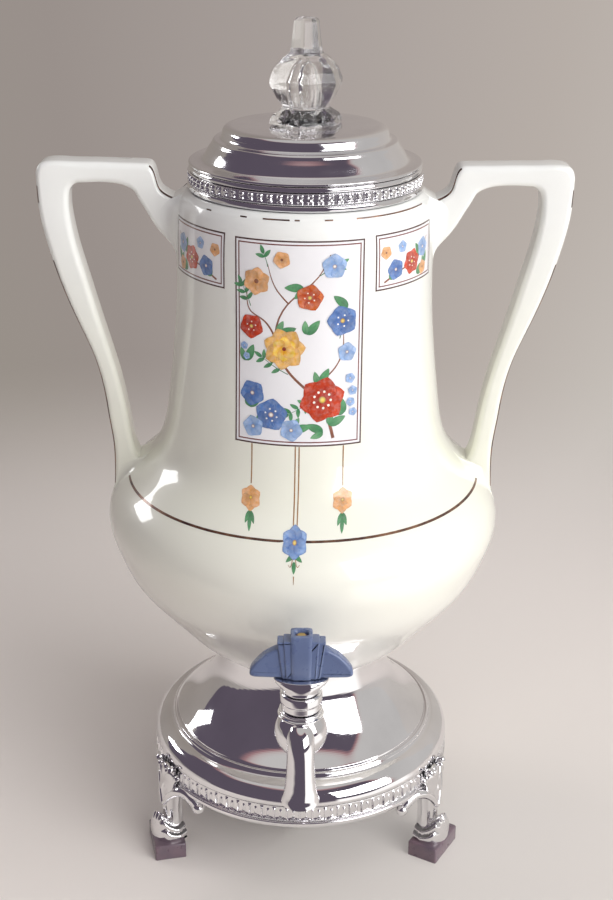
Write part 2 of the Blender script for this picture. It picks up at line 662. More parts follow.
class Painting:
    """Painted shapes gathered for one piece. Each new shape lies a hair above the one before."""

    def __init__(self, middle=MIDDLE):
        self.parts, self.colours, self.lift, self.middle, self.tone = [], [], PAINT_LIFT, middle, 0

    def lay(self, flat, colours):
        """A grid of (across, height) points with a colour each."""
        points = on_china(flat[..., 0], flat[..., 1], self.lift, self.middle)
        self.parts.append(sheet(points))
        self.colours.append(np.broadcast_to(colours, flat.shape[:-1] + (3,)).reshape(-1, 3))
        self.lift += LAYER

    def leaf(self, place, angle, length, width, inner, outer, bend=0.0, notch=0.0):
        """A petal or leaf: width follows sin(pi t^0.8); the middle line bends; the tip may be notched."""
        t = np.linspace(0, 1, 12)[:, None]
        s = np.linspace(-1, 1, 9)[None, :]
        half = width / 2 * np.sin(math.pi * t ** 0.8) ** 0.75
        x = length * t * (1 - notch * (1 - s ** 2) * t ** 6) + 0 * s
        y = half * s + bend * length * t ** 2
        turn = np.array([math.cos(angle), math.sin(angle)])
        flat = np.stack([place[0] + x * turn[0] - y * turn[1], place[1] + x * turn[1] + y * turn[0]], -1)
        shade = np.clip(0.1 + 0.9 * t ** 0.8 - 0.2 * np.abs(s) ** 2 * t, 0, 1)[..., None]
        vein = (np.exp(-(s / 0.14) ** 2) * (1 - t) * 0.7)[..., None]
        rim = np.maximum(np.abs(s) ** 6, t ** 9)[..., None]
        self.tone += 1
        light = 1 + 0.13 * math.sin(2.4 * self.tone)
        colours = np.asarray(inner) * (1 - shade) + np.asarray(outer) * light * shade
        colours = colours * (1 - vein) + np.asarray(inner) * vein
        self.lay(flat, colours * (1 - 0.45 * rim) + np.asarray(inner) * 0.45 * rim)

    def dot(self, place, radius, colour, rim=None):
        """A round spot, shaded to its rim."""
        t = np.linspace(0, 1, 4)[:, None]
        a = np.linspace(0, TURN, 17)[None, :]
        flat = np.stack([place[0] + radius * t * np.cos(a), place[1] + radius * t * np.sin(a)], -1)
        share = t[..., None] ** 2 + 0 * a[..., None]
        self.lay(flat, np.asarray(colour) * (1 - share) + np.asarray(rim or colour) * share)

    def stroke(self, line, width, colour, taper=0.6):
        """A brush line along a smooth path, thinner towards its end."""
        thick = width * (1 - taper * np.linspace(0, 1, 28))[None, :, None]
        self.lay(ribbon(smooth(line, 28), thick), np.asarray(colour))

    def flower(self, place, radius, petals, inner, outer, eye, turn=0.0, plump=0.95, notch=0.12, stamens=0):
        """Petals round a middle, with an eye and a ring of pale stamens."""
        for k in range(petals):
            angle = turn + TURN * k / petals
            width = plump * radius * 2 * math.sin(math.pi / petals) * 1.12
            self.leaf(place, angle, radius, width, inner, outer, notch=notch)
        for k in range(stamens):
            angle = turn + TURN * (k + 0.5) / stamens
            spot = (place[0] + 0.36 * radius * math.cos(angle), place[1] + 0.36 * radius * math.sin(angle))
            self.dot(spot, 0.055 * radius, CREAM)
        self.dot(place, 0.16 * radius, eye, STEM)

    def spray(self, place, angle, length, count, inner, outer, size=2.6):
        """Leaves in pairs along a stem."""
        way = np.array([math.cos(angle), math.sin(angle)])
        place = np.asarray(place, float)
        middle = place + way * length * 0.5 + 0.06 * length * way[::-1]
        self.stroke([place, middle, place + way * length], 0.35, DEEP_GREEN)
        for k in range(count):
            spot = place + way * length * (k + 1) / (count + 0.3)
            for side in (-1, 1):
                self.leaf(spot, angle + side * 0.9, size, size * 0.42, inner, outer, 0.1 * side)
        self.leaf(place + way * length, angle, size, size * 0.42, inner, outer)

    def done(self, name):
        colours = np.concatenate(self.colours)
        piece(name, together(*self.parts), PAINT, colours=colours, shut=False)


PANEL_HALF, PANEL_LOW, PANEL_HIGH = 25.3, 207.6, 288.0
SIDE_MIDDLE, SIDE_HALF, SIDE_LOW, SIDE_HIGH = 53.1, 17.8, 267.2, 288.6


def ground(name, half, low, high, middle):
    """The white ground inside a frame."""
    x, z = np.meshgrid(np.linspace(-half, half, 40), np.linspace(low, high, 50))
    colours = np.broadcast_to([0.86, 0.86, 0.875], (x.size, 3))
    flat = sheet(on_china(x, z, GROUND_LIFT, middle))
    piece(name, flat, WHITE_GROUND, colours=colours, shut=False)


def framed(name, half, low, high, middle):
    """White ground, an outer dark line and an inner reddish one."""
    ground(f"{name}_ground", half, low, high, middle)
    inset = 1.35
    parts = [frame_line(half, low, high, 0.6, middle),
             frame_line(half - inset, low + inset, high - inset, 0.5, middle)]
    tones = [np.broadcast_to(tone, (len(part[0]), 3)) for tone, part in zip(FRAME_TONES, parts)]
    piece(f"{name}_frame", together(*parts), PAINT, colours=np.concatenate(tones), shut=False)


def main_panel():
    """A trailing bouquet on a curved bough: a design of its own, in the colours of the painted panel."""
    framed("main_panel", PANEL_HALF, PANEL_LOW, PANEL_HIGH, MIDDLE)
    p = Painting()
    p.stroke([(14, 210.5), (9, 224), (-3, 236), (-9, 250), (-4, 264), (7, 274), (12, 283)], 1.3, STEM, 0.75)
    p.stroke([(-9, 250), (-14, 257), (-19, 260), (-20.5, 268)], 0.8, STEM)
    p.stroke([(3.5, 231), (12, 236), (17, 244), (17.5, 252)], 0.8, STEM)
    p.stroke([(-4, 264), (-9, 270), (-12, 279)], 0.6, STEM)
    for x, z, angle, length, count in ((-19, 262, 2.0, 9, 3), (16, 250, 1.5, 10, 3), (8, 275, 0.5, 9, 2),
                                       (-4, 236, 2.6, 12, 3), (6, 226, -2.6, 11, 3), (-12, 278, 1.9, 5, 1)):
        p.spray((x, z), angle, length, count, DEEP_GREEN, GREEN, 3.8)
    for x, z, angle in ((12, 216, 0.3), (10, 213, 2.6), (-8, 252, 0.2), (2, 270, 3.0), (8, 232, 0.9),
                        (-16, 214, 1.2), (-20, 222, 0.6), (18, 220, 1.7), (-2, 214, 0.1), (3, 252, 0.7),
                        (19, 262, 2.3), (-21, 240, 1.0)):
        p.leaf((x, z), angle, 7.5, 3.4, DEEP_GREEN, GREEN, 0.12)
        p.leaf((x, z), angle + 1.1, 5.5, 2.6, DEEP_GREEN, LEAF_GREEN, -0.12)
    p.flower((9.5, 226), 9.2, 6, *RED_FLOWER, 0.3, stamens=9)
    p.flower((-10.5, 219.5), 6.6, 5, *BLUE_FLOWER, 0.2, stamens=6)
    p.flower((-18.2, 227.5), 5.2, 5, *BLUE_FLOWER, 0.8)
    p.flower((-17.8, 214.2), 4.4, 5, *PALE_FLOWER, 0.5)
    p.flower((-2.5, 213.8), 4.6, 5, *PALE_FLOWER, 1.1)
    p.flower((-5.5, 246), 8.4, 7, TAN, GOLDEN, STEM, 0.1, plump=1.0, stamens=10)
    p.flower((-5.5, 246), 5.0, 6, (0.75, 0.32, 0.08), YELLOW, DEEP_RED, 0.5)
    p.flower((17.0, 257), 6.2, 5, DEEP_BLUE, BLUE_PAINT, YELLOW, 0.6, stamens=5)
    p.flower((19.0, 244.5), 3.9, 5, *PALE_FLOWER, 0.2)
    p.flower((-18.6, 254), 5.0, 5, *RED_FLOWER, 0.9, stamens=5)
    p.flower((-16.5, 272), 5.6, 6, *PEACH_FLOWER, 0.4)
    p.flower((4.2, 266.5), 5.4, 5, DEEP_RED, (0.72, 0.22, 0.08), YELLOW, 0.1, stamens=5)
    p.flower((13.5, 278.5), 5.0, 5, *PALE_FLOWER, 0.3)
    p.flower((-6.5, 281), 3.4, 5, *PEACH_FLOWER, 0.8)
    for k, (x, z) in enumerate(((20.5, 234), (21.6, 229), (20.8, 224.5), (21.8, 220.5), (-21.6, 246),
                                (-20.6, 242))):
        p.flower((x, z), 2.1 - 0.12 * k, 5, *PALE_FLOWER, 0.4 * k)
    p.done("main_panel_flowers")


def side_panels():
    """A low spray in each side frame."""
    for name, side in SIDES:
        middle = MIDDLE + side * math.radians(SIDE_MIDDLE)
        framed(f"{name}_panel", SIDE_HALF, SIDE_LOW, SIDE_HIGH, middle)
        p = Painting(middle=middle)
        p.stroke([(-side * 14, 269.8), (-side * 5, 273.5), (side * 5, 276), (side * 13.5, 283.5)], 0.8, STEM)
        for x, z, angle in ((-11, 270.5, 0.7), (-6, 272, 2.2), (2, 274.5, 0.9), (7, 277, 2.0), (11, 272, 1.2),
                            (5, 270, 0.2)):
            turn = angle if side > 0 else math.pi - angle
            p.leaf((side * x, z), turn, 6.2, 2.6, DEEP_GREEN, GREEN, 0.1)
            p.leaf((side * x, z), turn + 0.8 * side, 4.6, 2.0, DEEP_GREEN, LEAF_GREEN, -0.1)
        p.flower((side * 1.5, 275.6), 5.2, 6, *RED_FLOWER, 0.2, stamens=6)
        p.flower((-side * 8.2, 274.2), 4.3, 5, *BLUE_FLOWER, 0.6)
        p.flower((side * 9.6, 279.8), 4.1, 5, *PALE_FLOWER, 0.1)
        p.flower((side * 9.8, 271.6), 3.0, 5, *PEACH_FLOWER, 0.5)
        p.flower((-side * 13.2, 281.5), 2.7, 5, *PEACH_FLOWER, 0.9)
        p.flower((-side * 4.6, 282.6), 2.5, 5, *PALE_FLOWER, 0.3)
        p.done(f"{name}_panel_flowers")


def pendants():
    """Thin lines that hang from the frame, each ending in a small bloom or bud with leaves."""
    p = Painting()
    down = -math.pi / 2
    for side in (-1, 1):
        x = side * 18.4
        p.stroke([(side * 18.3, 207.2), (side * 18.3, 199), (x, 191.5)], 0.5, BROWN, 0.1)
        p.leaf((x, 182.5), down - 0.55, 4.2, 1.7, DEEP_GREEN, GREEN, 0.1)
        p.leaf((x, 182.5), down + 0.55, 4.2, 1.7, DEEP_GREEN, GREEN, -0.1)
        p.leaf((x, 181), down, 4.6, 1.6, DEEP_GREEN, GREEN)
        p.flower((x, 186.6), 4.4, 6, TAN, PEACH, YELLOW, 0.52, notch=0.0)
        p.stroke([(side * 0.75, 207.2), (side * 0.75, 192), (side * 0.7, 178)], 0.45, BROWN, 0.0)
        p.stroke([(side * 0.75, 171), (side * 0.8, 168), (side * 1.5, 166.6), (side * 2.2, 167.4)],
                 0.4, BROWN)
        p.leaf((0, 171), down + side * 0.75, 4.2, 1.7, DEEP_GREEN, GREEN, 0.1 * side)
    p.leaf((0, 168.5), down, 4.4, 1.6, DEEP_GREEN, GREEN)
    p.stroke([(0, 163.4), (0, 161.5), (0, 160.2)], 0.4, BROWN)
    p.flower((0, 174.2), 5.3, 6, DEEP_BLUE, (0.30, 0.45, 0.72), YELLOW, 0.52)
    p.done("pendant_flowers")


# Collar, bands and lid
COLLAR_BOTTOM, COLLAR_TOP = 297.8, 307.2
BAND_ROWS, BAND_COLUMNS, MOTIFS = 22, 14, 76
# The relief's depth as a share of the band's
RELIEF = 0.92


def collar():
    line = [(42, 283.5), (43, 283.5), (43, COLLAR_BOTTOM), (47.2, COLLAR_BOTTOM), (47.6, 298.5),
            (47.6, 299.7), (47.0, 300.3), (46.3, 300.4), (46.3, 305.2), (46.9, 305.3), (47.0, 306.3),
            (46.6, COLLAR_TOP), (42, COLLAR_TOP)]
    piece("collar", ring(line, 0.4, 5, 168), CHROME, "urn", ["top_collar"])


def ornament_band(name, radius, depth, low, high, relief, stands_for):
    """A ring whose face carries a repeated motif. `relief` gives each point's height from 0 to 1, from its
    place across one motif (-1 to 1) and up the band (0 to 1)."""
    column = np.arange(BAND_COLUMNS * MOTIFS)
    u = (column % BAND_COLUMNS + 0.5) / BAND_COLUMNS * 2 - 1
    v = np.linspace(0, 1, BAND_ROWS)
    angle = (TURN * column / (BAND_COLUMNS * MOTIFS))[:, None]
    r = radius - RELIEF * depth * (1 - relief(u[:, None], v[None, :]))
    z = low + (high - low) * v[None, :] + 0 * angle
    r = np.concatenate([0 * angle + radius - depth, r, 0 * angle + radius - depth], 1)
    z = np.concatenate([0 * angle + low, z, 0 * angle + high], 1)
    points = np.stack([r * np.sin(angle), -r * np.cos(angle), z], -1)
    piece(name, sheet(points, (True, True)), BAND, stands_for=stands_for, sharp=60)


def bump(x, y, wide, tall, power=2):
    """1 in the middle of an ellipse, 0 outside it, with a domed edge."""
    return np.clip(1 - (np.abs(x / wide) ** power + np.abs(y / tall) ** power), 0, 1) ** 0.5


def highest(*fields):
    return np.maximum.reduce(np.broadcast_arrays(*fields))


def top_relief(u, v):
    """Thin lines along both edges; between them a small palmette: a stem, two upper leaves and two feet."""
    edge = np.maximum(bump(v - 0.03, 0 * u, 0.05, 1), bump(v - 0.965, 0 * u, 0.05, 1))
    stem = bump(u, v - 0.5, 0.13, 0.36, 3)
    side = np.abs(u)
    leaf = bump(side - 0.34 - 0.25 * (v - 0.65), v - 0.66, 0.21, 0.22)
    foot = bump(side - 0.32 + 0.6 * (v - 0.3), v - 0.3, 0.17, 0.2)
    return highest(edge, 0.9 * stem, leaf, 0.9 * foot, 0.02)


def base_relief(u, v):
    """Upright bars frame niches that each hold a ribbed leaf; dark slots above the bars and a bead below."""
    edge = np.maximum(bump(v - 0.04, 0 * u, 0.06, 1), 0.8 * bump(v - 0.97, 0 * u, 0.06, 1))
    bar = bump(np.abs(u) - 1, v - 0.46, 0.2, 0.36, 8)
    ribs = 0.55 + 0.45 * np.cos(4 * math.pi * (u * (1 - 0.5 * v))) * (v > 0.3)
    leaf = bump(u, v - 0.46, 0.5, 0.28) * ribs
    sill = 0.6 * bump(u, v - 0.14, 0.7, 0.05)
    slot = bump(np.abs(u) - 1, v - 0.89, 0.3, 0.055, 6)
    field = highest(edge, bar, 0.9 * leaf, sill, 0.1)
    return np.where(slot > 0.2, -0.1, field)


def bands():
    ornament_band("top_ornament", 47.5, 0.9, 300.6, 304.9, top_relief, ["top_band"])
    ornament_band("base_ornament", 67.6, 1.1, 36.9, 44.4, base_relief, ["base_band"])


LID_LOW, LID_RISE = 307.5, 15.5
# The lid's section, up the outside and down the inside: radius, share of its rise, reach of the rounding
LID_SHARES = [
    (47, 0, 0.3), (47, 0.05, 0.2), (46.6, 0.075, 0.3), (44.0, 0.085, 1.0), (41.4, 0.11, 0.9),
    (40.6, 0.2, 0.9), (39.3, 0.36, 1.2), (37.5, 0.52, 0.35), (37.3, 0.57, 0.35), (36.7, 0.615, 0.4),
    (35.7, 0.625, 0.5), (34.2, 0.64, 0.6), (33.5, 0.7, 0.8), (33.4, 0.8, 0.8), (32.8, 0.9, 1.0),
    (30.6, 0.965, 1.4), (9.2, 0.99, 0.3), (9.2, 0.93, 0.4), (30.2, 0.9, 0.4), (31.7, 0.85, 0.4),
    (32.2, 0.6, 0.4), (35.6, 0.52, 0.4), (38.2, 0.3, 0.4), (39.4, 0.14, 0.4), (39.8, 0, 0.4),
]


def lid():
    """Brim, a sloping wall, a small bead, a cove and a gently domed top, with a sheet's thickness below."""
    line = [(radius, LID_LOW + share * LID_RISE) for radius, share, _ in LID_SHARES]
    reach = [reach for _, _, reach in LID_SHARES]
    piece("lid_dome", ring(line, reach, 6, 168), SATIN, "lid", ["lid_shell"])


# Glass knob: six-sided from foot to tip, with eased edges and a hollow from below
GLASS_SHARES = [
    (0.985, 0.0), (1.0, 0.03), (0.93, 0.08), (0.65, 0.145), (0.63, 0.175), (0.8, 0.245),
    (0.985, 0.38), (1.0, 0.42), (0.89, 0.52), (0.62, 0.635), (0.45, 0.675), (0.43, 0.71),
    (0.4, 0.77), (0.34, 0.975), (0.27, 1.0),
]
GLASS_FOOT, GLASS_HEIGHT, GLASS_RADIUS, GLASS_TURN = 323.3, 40.2, 15.5, math.radians(11.3)


def glass_knob():
    """Six-sided sections: the radius at an angle is that of a hexagon whose corners are drawn in a little.
    The line goes on over the tip to the axis, and below through the neck into the hollow."""
    line = rounded([(r * GLASS_RADIUS, GLASS_FOOT + z * GLASS_HEIGHT) for r, z in GLASS_SHARES], 0.5, 4)
    line = np.concatenate([line, [(0, line[-1, 1])]])
    neck = [(9.0, GLASS_FOOT), (8.4, GLASS_FOOT), (8.4, 317.9), (5.0, 317.9), (5.0, 338.0), (2.6, 343.6),
            (0, 345.8)]
    neck = rounded(neck, 0.8, 5)
    angle = (TURN * np.arange(96) / 96)[:, None]
    face = (angle + math.pi / 6) % (math.pi / 3) - math.pi / 6
    hexagon = math.cos(math.pi / 6) / np.cos((np.abs(face) - math.pi / 6))
    spin = angle + GLASS_TURN

    def about(radius, height):
        return np.stack([radius * np.sin(spin), radius * np.cos(spin), height[None, :] + 0 * spin], -1)

    outer = about(line[:, 0][None, :] * np.clip(hexagon, 0, 0.985), line[:, 1])
    points = np.concatenate([outer[:, ::-1], about(neck[:, 0], neck[:, 1])], 1)
    lug = sheet(superball((9.3, 0, 319.1), (1.9, 2.0, 1.2), (0.4, 0.4)), (False, True))
    lugs = [spun(lug, side + math.radians(60)) for side in (0, math.pi)]
    knob = together(sheet(points, (True, False)), *lugs)
    piece("glass_finial", knob, GLASS, "knob", ["glass_knob"], 22)


# Plated base: rim, flare, bead and quarter round over the band, with a lip turned in below
def base():
    flare = smooth([(37.3, 90), (38.4, 79.9), (43.4, 70.0), (50.0, 62.0), (57.0, 56.3)], 40)
    bead = [(57.3, 55.0), (58.3, 55.6), (59.0, 54.9), (59.3, 53.9)]
    turn = np.linspace(0.12, math.pi / 2, 12)
    over = np.column_stack([59.3 + 8.3 * np.sin(turn), 44.7 + 8.6 * np.cos(turn)])
    rim = [(66.2, 44.6), (66.2, 36.6), (67.8, 36.4), (67.9, 34.8), (67.4, 34.0)]
    inner = [(51, 34), (51, 35.2), (65, 35.2), (65, 44.5), (57.2, 53.4), (55.6, 55.6), (48.6, 61.0),
             (42.0, 69.2), (37.0, 79.6), (36.1, 87.0), (18.1, 87.0), (18.1, 88.2), (36.1, 88.2), (36.1, 89.8)]
    reach = [0.15] + [0.2] * (len(flare) - 1) + [0.5, 0.6, 0.5, 0.4] + [0.3] * len(over)
    reach += [0.15, 0.15, 0.5, 0.5, 0.4] + [0.3] * len(inner)
    line = np.concatenate([flare, bead, over, rim, inner])
    piece("base_dome", ring(line, reach, 4, 192), CHROME, "urn", ["base_shell"])


# Feet: a shell crest with curls, two arms that end in balls, a fluted leg and a toe like a folded leaf
FOOT_ANGLES = {"front_right": -30, "rear": 90, "front_left": 210}
CREST = [(0, 23.6), (2.6, 26.0), (4.8, 29.4), (6.3, 33.6), (6.9, 38.0), (6.5, 41.0), (5.0, 43.0), (3.4, 42.4),
         (1.8, 43.6), (0, 44.0)]
# The arm's knots from the low point to the ball, and its radii at shares of that way
ARM = [(71.7, 0, 23.6), (71.0, 2.5, 27.0), (69.5, 5.4, 30.8), (67.8, 8.3, 33.2), (66.0, 10.9, 33.9),
       (64.6, 13.8, 33.1), (63.6, 16.4, 31.4), (63.0, 18.4, 29.6)]
ARM_SHARES, ARM_RADII = [0, 0.15, 0.4, 0.65, 0.85, 1], [1.0, 1.3, 1.8, 2.6, 2.7, 2.2]
# Knots of each curl beside the crest, and its radii at foot, middle and tip
CURLS = (
    ([(69.6, 2.6, 36.5), (69.5, 3.0, 40.5), (69.7, 3.3, 42.6), (70.6, 3.5, 43.2), (71.1, 3.5, 42.4)],
     [0.7, 1.0, 1.0]),
    ([(69.2, 4.5, 36.5), (68.7, 5.2, 41.0), (68.9, 5.7, 43.7), (69.9, 6.0, 44.4), (70.5, 6.1, 43.4)],
     [0.9, 1.3, 1.4]),
    ([(68.9, 5.0, 35.0), (68.4, 6.6, 38.6), (67.9, 7.8, 40.4), (68.2, 8.5, 40.6), (68.5, 8.6, 39.9)],
     [0.9, 1.2, 1.3]),
)


def crest():
    """A fanned shell: its face is domed, ribbed from the foot up, and thins to its scalloped edge."""
    half = np.array(CREST, float)
    loop = smooth(np.concatenate([half, half[-2:0:-1] * [-1, 1]]), 84, closed=True)
    middle = np.array([0, 36.0])
    share = np.concatenate([np.linspace(0, 0.96, 12), [1.0, 1.0, 0.9, 0.0]])[:, None]
    fan = np.arctan2(loop[:, 0], loop[:, 1] - 22.0)[None, :]
    ribs = 0.5 + 0.5 * np.cos(22 * fan)
    ribbed = 0.6 * ribs * np.clip(1.25 * share, 0, 1) * (1 - share ** 6)
    dome = 1.4 + 1.7 * np.clip(1 - share ** 2.4, 0, 1) + ribbed
    dome[12:] = np.array([1.2, 0.3, 0.0, 0.0])[:, None]
    place = middle + share[..., None] * (loop - middle)[None]
    points = np.stack([68.3 + dome, place[..., 0], place[..., 1]], -1)
    return sheet(points, (False, True))


def toe():
    """A leaf folded over the pad, carried outwards. Each section is close to (W cos a, H sin a), swollen by
    |sin 6a| into three folds a side that waver along the toe, and the sections narrow towards the tip."""
    foot = 6.9
    s = np.linspace(0, 1, 34)[:, None]
    a = np.linspace(0, math.pi, 73)[None, :]
    tip = np.sqrt(np.clip(1 - (np.clip(s - 0.6, 0, 1) / 0.405) ** 2.2, 0, 1))
    wide = np.interp(s, [0, 0.3], [7.4, 8.8]) * tip
    high = np.interp(s, [0, 0.35, 0.6, 0.78, 0.9, 1], [6.2, 6.6, 8.6, 10.8, 8.2, 3.0])
    wave = a + 0.1 * np.sin(5.5 * s) * np.sin(2 * a)
    fold = 1 + 0.13 * np.abs(np.sin(6 * wave)) ** 0.7 - 0.06
    y = wide * np.sign(np.cos(a)) * np.abs(np.cos(a)) ** 1.1 * fold
    z = foot + (high + 0.7) * np.sin(a) ** 0.8 * fold
    x = 63.6 + 13.2 * s + 0 * a
    under = np.stack([x[:, -2:0:-1], y[:, -2:0:-1], foot + 0 * z[:, 1:-1]], -1)
    return closed_tube(np.concatenate([np.stack([x, y, z], -1), under], 1))


def leg():
    """The fluted leg: ovals from the toe to the knee, a little narrower at the ankle."""
    knots = [(11.5, 67.2, 4.9, 5.2), (16, 67.0, 4.6, 4.8), (20, 67.0, 4.6, 4.5), (24, 67.0, 4.9, 4.8),
             (28, 67.1, 5.1, 5.5), (31.5, 67.4, 5.0, 6.4), (34.5, 67.4, 4.2, 6.6), (36.5, 67.4, 3.4, 5.6)]
    z, middle, deep, wide = smooth(knots, 34).T[:, :, None]
    angle = (TURN * np.arange(110) / 110)[None, :]
    rib = 1 - 0.11 * np.abs(np.sin(5.5 * angle)) ** 0.8 * np.clip((z - 13) / 5, 0, 1)
    x, y = middle + deep * rib * np.cos(angle), wide * rib * np.sin(angle)
    return closed_tube(np.stack([x, y, z + 0 * angle], -1))


def foot_casting():
    """The foot in its own place: x outwards from the urn's axis, y along the rim, z up. Two arms rise from a
    low point on its outer face, round the leg's sides and down again to a ball each."""
    path = smooth([(x, -y, z) for x, y, z in ARM[:0:-1]] + ARM, 110)
    thick = np.interp(np.abs(np.linspace(-1, 1, 110)), ARM_SHARES, ARM_RADII)
    parts = [crest(), toe(), leg(), closed_tube(swept(path, thick, 16, (1, 0, 0.2)))]
    for side in (-1, 1):
        ball = superball((62.9, side * 18.6, 29.3), (2.8, 2.8, 2.8), rows=12, sides=20)
        parts.append(sheet(ball, (False, True)))
        for knots, radii in CURLS:
            knots = [(x, side * y, z) for x, y, z in knots]
            parts.append(rod(knots, 24, [0, 0.5, 1], radii, 12, (0, 1, 0.1)))
    return together(*parts)


PAD_HALF = np.array((7.0, 11.0))
PAD_CORNER, PAD_REACH, PAD_TURN = 0.7, 70.0, math.radians(-17)


def pad(turn):
    """A moulded block with a chamfered top: rectangles with small round corners stacked from foot to top."""
    rows = np.array([(0.35, 0.0), (0.05, 0.12), (0.0, 0.4), (0.0, 6.7), (0.06, 6.9), (0.3, 7.2), (0.42, 7.35),
                     (0.6, 7.4)])
    inset, height = rows.T[:, :, None, None]
    angle = np.concatenate([np.linspace(k, k + 1, 6) for k in range(4)]) * math.pi / 2
    sides = np.repeat([(1, 1), (-1, 1), (-1, -1), (1, -1)], 6, axis=0)
    corner = sides * (PAD_HALF - PAD_CORNER)
    bend = PAD_CORNER * np.stack([np.cos(angle), np.sin(angle)], -1)
    flat = corner[None] * (1 - inset / PAD_HALF) + bend[None]
    points = np.concatenate([flat, height + 0 * flat[..., :1]], -1)
    return spun(closed_tube(points), turn, (PAD_REACH, 0, 0))


def feet():
    casting = foot_casting()
    for name, degrees in FOOT_ANGLES.items():
        angle = math.radians(degrees)
        piece(f"scroll_foot_{name}", spun(casting, angle), CAST, stands_for=[f"foot_{name}"])
        moulded = spun(pad(PAD_TURN if name == "front_left" else 0), angle)
        piece(f"resin_pad_{name}", moulded, DARK, stands_for=[f"foot_pad_{name}"])


# Tap
TAP_REACH, TAP_HEIGHT, BULB = 98.0, 103.4, 10.5
NECK_REACH, NECK_HEIGHT = 45.5, 77
SPOUT_REACH, SPOUT_SIDES = 109.0, 36
TAP_PLACE = np.array([0, -TAP_REACH, 0])


def at_tap(part):
    points, faces = part
    return points + TAP_PLACE, faces


def spout():
    """Down from the bulb to the rolled mouth and up inside it a little way."""
    knots = [(0, -97, 104.6), (0, -102, 106.0), (0, -105.8, 104.9), (0, -107.8, 101.0), (0, -108.4, 96.5),
             (0, -108.7, 91), (0, -108.9, 85), (0, -109, 78.2)]
    path = smooth(knots, 44)
    radius = np.interp(path[:, 2], [78, 79.2, 81, 84, 88, 93, 98, 106.2],
                       [7.6, 7.5, 6.8, 6.2, 5.8, 5.5, 5.35, 5.5])
    tube = swept(path, softened(radius, 0.9), SPOUT_SIDES, (1, 0, 0))
    lip = np.array([(7.0, 77.8), (5.2, 77.9), (3.6, 78.6), (3.4, 82), (3.4, 92), (0.001, 92)])
    r, z = lip.T[:, :, None]
    lap = (TURN * np.arange(SPOUT_SIDES) / SPOUT_SIDES)[None]
    mouth = np.stack([r * np.cos(lap), r * np.sin(lap) - SPOUT_REACH, z + 0 * lap], -1)
    first = tube[-1, 0] - np.array([0, -SPOUT_REACH, 0])
    shift = round(math.atan2(first[1], first[0]) / TURN * SPOUT_SIDES) % SPOUT_SIDES
    way = np.sign(np.cross(tube[-1, 0] - tube[-1].mean(0), tube[-1, 1] - tube[-1].mean(0))[2])
    order = (shift + (np.arange(SPOUT_SIDES) if way > 0 else -np.arange(SPOUT_SIDES))) % SPOUT_SIDES
    start = np.broadcast_to(tube[0].mean(0), tube[0].shape)[None]
    return sheet(np.concatenate([start, tube, mouth[:, order]]), (False, True))


def tap():
    """Bulb with grooved rings above it, a rising neck from the base, and a spout that flares to its mouth."""
    turn = np.linspace(0.15, 2.35, 18)
    bulb = [(0, 92.9)] + [(BULB * math.sin(a), TAP_HEIGHT - BULB * math.cos(a)) for a in turn]
    rings = [(8.6, 110.9), (9.1, 111.4), (9.2, 112.0), (8.3, 112.4), (8.2, 112.7), (8.7, 113.1), (8.6, 113.8),
             (0, 113.9)]
    stack = rounded(bulb + rings, [0.8] * len(bulb) + [0.25] * len(rings), 4)
    knots = [(0, -NECK_REACH, NECK_HEIGHT), (0, -51.8, 77.5), (0, -64.4, 83.9), (0, -78, 93.4),
             (0, -89.6, 100.2), (0, -TAP_REACH, 102.3)]
    neck = rod(knots, 30, [0, 0.15, 0.5, 1], [5.6, 5.3, 5.0, 5.5], 28, (1, 0, 0))
    x, z, y = np.moveaxis(turned(rounded([(0, -1), (7, -1), (7, 1), (0, 1)], 0.5, 5), 40), -1, 0)
    flange = sheet(np.stack([x, y - NECK_REACH, z + NECK_HEIGHT], -1), (True, False))
    parts = [at_tap(sheet(turned(stack, 64), (True, False))), neck, flange, spout()]
    piece("tap_casting", together(*parts), CHROME, stands_for=["tap_body"])
    bonnet = [(4.2, 114.2), (7.5, 114.2), (7.8, 114.6), (7.8, 117.2), (8.3, 117.9), (8.3, 120.9),
              (7.9, 121.6), (4.2, 121.6)]
    piece("tap_ring", at_tap(ring(bonnet, 0.35, 5, 56)), CHROME, stands_for=["tap_bonnet"])


def key_head():
    """Tapered plug, stem and cup-shaped head under the handle. Above its foot the head is squeezed to an
    oval, but nowhere thinner than the peg inside the handle."""
    line = [(0, 96.3), (4.8, 96.3), (6.2, 113.6), (3.9, 113.6), (3.9, 121.9), (7.2, 121.9), (7.6, 123.2),
            (8.6, 124.4), (10.1, 126.0), (10.9, 127.2), (10.7, 127.9), (9.6, 128.1), (2.8, 128.1),
            (2.8, 135.0), (0, 135.0)]
    reach = [0.3] * 5 + [0.4, 0.6, 0.8, 0.6, 0.4, 0.4, 0.6, 0.2, 0.3, 0.3]
    stack = turned(rounded(line, reach, 5), 72)
    cup, height = 122.5, stack[..., 2]
    oval = np.interp(height, [cup, 127.2], [1.0, 0.62])
    peg = np.clip(2.9 / np.hypot(stack[..., 0], stack[..., 1]).clip(1e-6), 0, 1)
    stack[..., 1] *= np.where(height > cup, np.maximum(oval, peg), 1)
    piece("key_head", at_tap(sheet(stack, (True, False))), CHROME, "tap_plug", ["tap_key"])


HANDLE_FOOT = 128.4
WING_SHARES = [(0.5, 0.0), (0.9, 0.02), (0.985, 0.07), (1.0, 0.17), (0.975, 0.3), (0.86, 0.55), (0.71, 0.79),
               (0.5, 0.985), (0.42, 1.0)]


def block(line, half, edge):
    return capped(pillow(rounded(line, edge, 5, closed=True), half, edge))


